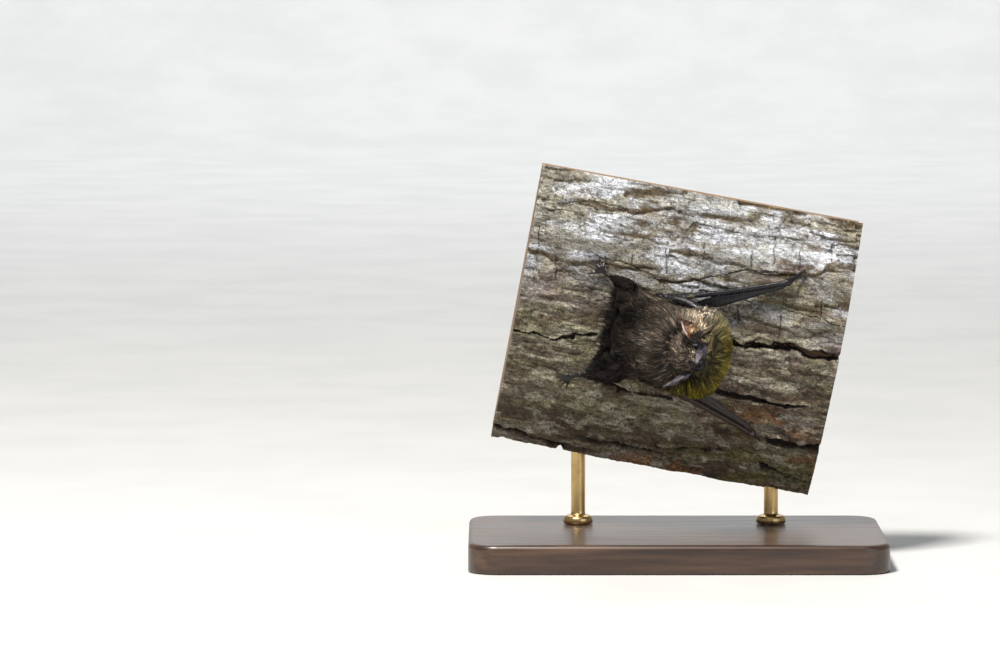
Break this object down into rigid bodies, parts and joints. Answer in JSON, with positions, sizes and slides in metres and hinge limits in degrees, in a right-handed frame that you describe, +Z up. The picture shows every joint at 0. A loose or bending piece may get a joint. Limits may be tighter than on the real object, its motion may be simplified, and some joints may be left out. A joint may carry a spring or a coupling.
{
  "type": "brown bat (proboscis bat) on a piece of tree trunk",
  "caption": "Life-size still model of a small brown bat with a long pointed nose, clinging to a slab of bark on a wood and brass display stand.",
  "frame": {"origin": "middle of the stand base's underside, on the surface that the model stands on", "axes": "+Z up, -Y out of the bark towards the bat's back and face, +X to the right when facing the bat, so that the trunk's length and the bat's head point to +X and slightly down"},
  "size_m": [0.128, 0.078, 0.1235],
  "materials": {
    "brown_fur": "soft grizzled brown fur, olive yellow at the throat",
    "bat_skin": "thin dark skin of the arms, legs and flight membranes",
    "ear_skin": "thin brown ear skin",
    "eye": "glossy black",
    "bark": "rough grey bark with lichen, sawn and split at the back",
    "stand_wood": "dark stained wood, satin",
    "stand_brass": "satin brass"
  },
  "bodies": {
    "root": {"head": "brown_fur", "neck": "brown_fur", "chest": "brown_fur", "abdomen": "brown_fur", "ear_left": "ear_skin", "ear_right": "ear_skin", "eye_left": "eye", "eye_right": "eye", "upper_arm_left": "brown_fur", "upper_arm_right": "brown_fur", "forearm_left": "bat_skin", "forearm_right": "bat_skin", "folded_wing_left": "bat_skin", "folded_wing_right": "bat_skin", "thumb_left": "bat_skin", "thumb_right": "bat_skin", "wing_membrane_left": "bat_skin", "wing_membrane_right": "bat_skin", "thigh_left": "brown_fur", "thigh_right": "brown_fur", "shank_left": "bat_skin", "shank_right": "bat_skin", "foot_left": "bat_skin", "foot_right": "bat_skin", "tail_membrane": "bat_skin", "tail": "bat_skin", "perch_trunk_piece": "bark", "stand_base": "stand_wood", "stand_rod_1": "stand_brass", "stand_rod_2": "stand_brass"}
  },
  "joints": []
}
